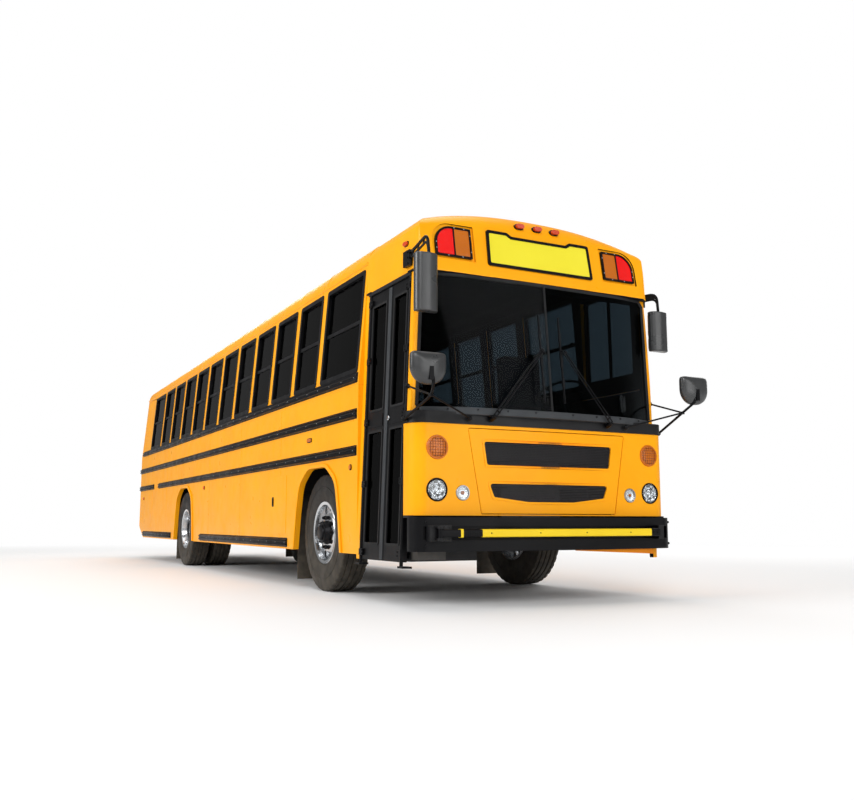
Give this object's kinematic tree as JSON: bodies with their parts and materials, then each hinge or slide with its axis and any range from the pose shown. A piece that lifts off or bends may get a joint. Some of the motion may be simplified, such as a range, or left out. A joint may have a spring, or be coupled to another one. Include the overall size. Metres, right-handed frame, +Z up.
{
  "type": "school bus",
  "caption": "Forward-control school bus with paired entrance doors, dual rear wheels, rub rails, warning lamps, roof hatches, stop sign arm and front crossing arm.",
  "frame": {"origin": "on the road, at the middle of the overall length and width", "axes": "+X to the driver's (left) side, +Y to the rear, +Z up"},
  "size_m": [2.808, 11.99, 3.242],
  "materials": {
    "school_yellow": "gloss enamel",
    "roof_yellow": "gloss enamel",
    "black_trim": "satin",
    "frame_black": "chassis paint",
    "moulded_black": "grained",
    "glass": "tinted",
    "clear_lens": "clear",
    "amber_lens": "moulded",
    "red_lens": "moulded",
    "tyre_rubber": "moulded",
    "flap_rubber": "moulded",
    "bright_steel": "polished",
    "axle_iron": "painted",
    "seat_vinyl": "grained vinyl",
    "floor_rubber": "ribbed",
    "sign_yellow": "reflective",
    "arm_yellow": "moulded",
    "sign_red": "reflective",
    "tank_steel": "satin",
    "box_grey": "satin",
    "engine_iron": "cast"
  },
  "bodies": {
    "bus_body": {"chassis_frame": "frame_black", "floor_deck": "floor_rubber", "right_side_panel": "school_yellow", "left_side_panel": "school_yellow", "right_window_band": "school_yellow", "left_window_band": "school_yellow", "roof_skin": "roof_yellow", "front_cap": "school_yellow", "nose_shell": "school_yellow", "windscreen_trim": "moulded_black", "rear_end": "school_yellow", "body_glass": "glass", "window_frames": "black_trim", "rub_rails": "black_trim", "front_bumper": "black_trim", "rear_bumper": "black_trim", "arm_mount": "moulded_black", "hinge_brackets": "black_trim", "front_lamps": "clear_lens", "warning_lamps": "red_lens", "body_lamps": "amber_lens", "sign_panels": "sign_yellow", "upper_mirrors": "moulded_black", "crossview_mirrors": "moulded_black", "wipers": "black_trim", "engine_block": "engine_iron", "engine_cover": "moulded_black", "dashboard": "moulded_black", "seats": "seat_vinyl", "fuel_tank": "tank_steel", "tool_box": "box_grey", "exhaust": "tank_steel", "front_axle": "axle_iron", "rear_axle": "axle_iron", "leaf_springs": "axle_iron", "mud_flaps": "flap_rubber"},
    "knuckle_right_body": {"knuckle_right": "axle_iron"},
    "knuckle_left_body": {"knuckle_left": "axle_iron"},
    "front_wheel_right": {"front_tyre_right": "tyre_rubber", "front_rim_right": "bright_steel"},
    "front_wheel_left": {"front_tyre_left": "tyre_rubber", "front_rim_left": "bright_steel"},
    "rear_wheels_right": {"rear_tyres_right": "tyre_rubber", "rear_rims_right": "bright_steel"},
    "rear_wheels_left": {"rear_tyres_left": "tyre_rubber", "rear_rims_left": "bright_steel"},
    "entrance_front": {"entrance_leaf_front": "black_trim", "entrance_glass_front": "glass"},
    "entrance_rear": {"entrance_leaf_rear": "black_trim", "entrance_glass_rear": "glass"},
    "front_access": {"access_panel": "school_yellow", "grille_mesh": "black_trim"},
    "emergency_door": {"rear_door": "school_yellow", "rear_door_glass": "glass"},
    "stop_sign": {"stop_arm": "sign_red"},
    "crossing_gate": {"crossing_arm": "arm_yellow"},
    "hatch_front": {"roof_hatch_front": "school_yellow"},
    "hatch_rear": {"roof_hatch_rear": "school_yellow"},
    "steering": {"steering_wheel": "moulded_black"}
  },
  "joints": [
    {"name": "steer_right", "type": "hinge", "parent": "bus_body", "child": "knuckle_right_body", "pos_m": [-0.87, -3.591, 0.54], "axis": [0, 0, 1], "range_deg": [-35, 35]},
    {"name": "steer_left", "type": "hinge", "parent": "bus_body", "child": "knuckle_left_body", "pos_m": [0.87, -3.591, 0.54], "axis": [0, 0, 1], "range_deg": [-35, 35]},
    {"name": "front_spin_right", "type": "hinge", "parent": "knuckle_right_body", "child": "front_wheel_right", "pos_m": [-1.03, -3.591, 0.54], "axis": [1, 0, 0], "continuous": true},
    {"name": "front_spin_left", "type": "hinge", "parent": "knuckle_left_body", "child": "front_wheel_left", "pos_m": [1.03, -3.591, 0.54], "axis": [1, 0, 0], "continuous": true},
    {"name": "rear_spin_right", "type": "hinge", "parent": "bus_body", "child": "rear_wheels_right", "pos_m": [-1.052, 2.179, 0.54], "axis": [1, 0, 0], "continuous": true},
    {"name": "rear_spin_left", "type": "hinge", "parent": "bus_body", "child": "rear_wheels_left", "pos_m": [1.052, 2.179, 0.54], "axis": [1, 0, 0], "continuous": true},
    {"name": "entrance_front_swing", "type": "hinge", "parent": "bus_body", "child": "entrance_front", "pos_m": [-1.219, -5.407, 0.335], "axis": [0.0355, 0, 0.9994], "range_deg": [0, 90]},
    {"name": "entrance_rear_swing", "type": "hinge", "parent": "bus_body", "child": "entrance_rear", "pos_m": [-1.219, -4.629, 0.335], "axis": [0.0355, 0, 0.9994], "range_deg": [-90, 0]},
    {"name": "emergency_door_swing", "type": "hinge", "parent": "bus_body", "child": "emergency_door", "pos_m": [-0.436, 5.905, 1.5], "axis": [0, 0, 1], "range_deg": [0, 110]},
    {"name": "access_panel_lift", "type": "hinge", "parent": "bus_body", "child": "front_access", "pos_m": [0, -5.633, 1.364], "axis": [-1, 0, 0], "range_deg": [0, 70]},
    {"name": "stop_sign_swing", "type": "hinge", "parent": "bus_body", "child": "stop_sign", "pos_m": [1.265, -5.097, 1.5], "axis": [0, 0, -1], "range_deg": [0, 90]},
    {"name": "crossing_arm_swing", "type": "hinge", "parent": "bus_body", "child": "crossing_gate", "pos_m": [-1.065, -5.756, 0.554], "axis": [0, 0, -1], "range_deg": [0, 90]},
    {"name": "hatch_front_lift", "type": "hinge", "parent": "bus_body", "child": "hatch_front", "pos_m": [0, -2.461, 3.216], "axis": [1, 0, 0], "range_deg": [0, 60]},
    {"name": "hatch_rear_lift", "type": "hinge", "parent": "bus_body", "child": "hatch_rear", "pos_m": [0, 2.539, 3.216], "axis": [1, 0, 0], "range_deg": [0, 60]},
    {"name": "steering_wheel_turn", "type": "hinge", "parent": "bus_body", "child": "steering", "pos_m": [0.64, -4.997, 1.56], "axis": [0, 0.4407, 0.8977], "range_deg": [-525, 525]}
  ],
  "couplings": [
    {"joint": "steer_left", "follows": "steer_right", "ratio": 1},
    {"joint": "entrance_rear_swing", "follows": "entrance_front_swing", "ratio": -1},
    {"joint": "steering_wheel_turn", "follows": "steer_right", "ratio": 15}
  ]
}
